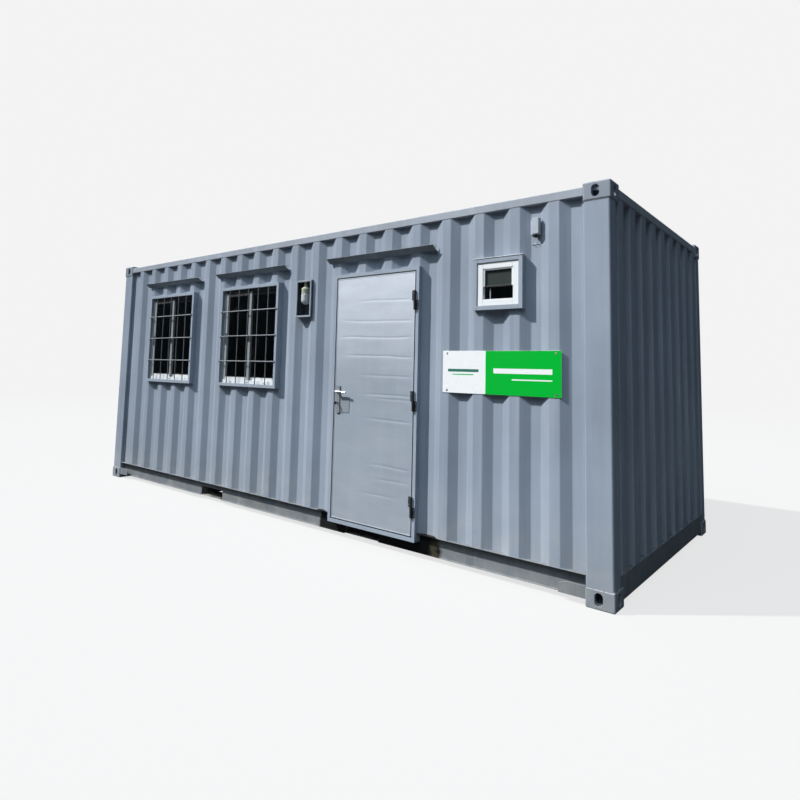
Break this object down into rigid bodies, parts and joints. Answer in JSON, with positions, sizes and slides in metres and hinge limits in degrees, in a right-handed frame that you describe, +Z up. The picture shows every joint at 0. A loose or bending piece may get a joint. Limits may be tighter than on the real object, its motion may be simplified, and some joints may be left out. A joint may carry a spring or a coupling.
{
  "type": "shipping container cabin",
  "caption": "Corrugated steel container fitted out as a cabin, with a hinged door, barred sliding windows, a vent window, a lamp recess and forklift pockets.",
  "frame": {"origin": "centre of the container's base, on the ground", "axes": "+X along the length towards the end beside the door and vent window, -Y out of the wall with the door, +Z up"},
  "size_m": [6.058, 2.504, 2.591],
  "materials": {
    "grey_paint": "grey-blue industrial paint, slightly dusty, with worn edges",
    "dark_paint": "dark underbody coating",
    "door_paint": "pale silvery sheet with shallow dents",
    "floor_wood": "sealed plywood",
    "lining_board": "pale faced lining boards",
    "aluminium": "satin anodised",
    "window_glass": "clear float glass",
    "white_plastic": "white extruded frame",
    "lamp_plastic": "cream moulded lampholder",
    "clear_glass": "clear pressed glass",
    "sign_plastic": "green and white flat board",
    "grey_plastic": "grey moulded box",
    "satin_steel": "satin steel furniture"
  },
  "bodies": {
    "cabin": {"bottom_castings": "grey_paint", "top_castings": "grey_paint", "corner_posts": "grey_paint", "top_side_rails": "grey_paint", "end_headers": "grey_paint", "bottom_rail_front": "grey_paint", "bottom_rail_back": "grey_paint", "end_sills": "grey_paint", "rail_gussets": "grey_paint", "forklift_pockets": "dark_paint", "cross_members": "dark_paint", "floor_boards": "floor_wood", "front_wall_left": "grey_paint", "front_wall_lamp_bay": "grey_paint", "front_wall_over_door": "grey_paint", "front_wall_right": "grey_paint", "back_wall": "grey_paint", "left_end_wall": "grey_paint", "right_end_wall": "grey_paint", "roof_panel": "grey_paint", "front_lining": "lining_board", "back_lining": "lining_board", "end_linings": "lining_board", "ceiling": "lining_board", "window_casings": "grey_paint", "window_frames": "aluminium", "window_sashes": "aluminium", "window_glass": "window_glass", "window_grilles": "grey_paint", "rain_gutters": "grey_paint", "vent_casing": "grey_paint", "vent_frame": "white_plastic", "vent_glass": "window_glass", "lamp_recess": "grey_paint", "lamp_base": "lamp_plastic", "lamp_jar": "clear_glass", "sign_board": "sign_plastic", "socket_box": "grey_plastic", "door_frame": "grey_paint", "frame_hinges": "grey_paint"},
    "door": {"door_leaf": "door_paint", "leaf_hinges": "grey_paint", "lock_plates": "satin_steel"},
    "lever": {"lever_handle": "satin_steel"}
  },
  "joints": [
    {"name": "door_hinge", "type": "hinge", "parent": "cabin", "child": "door", "pos_m": [1.5675, -1.248, 1.15], "axis": [0, 0, 1], "range_deg": [0, 150]},
    {"name": "lever_turn", "type": "hinge", "parent": "door", "child": "lever", "pos_m": [0.788, -1.24, 1.188], "axis": [0, 1, 0], "range_deg": [0, 45], "stiffness_Nm_per_rad": 2.5, "springref_deg": -20.05}
  ]
}
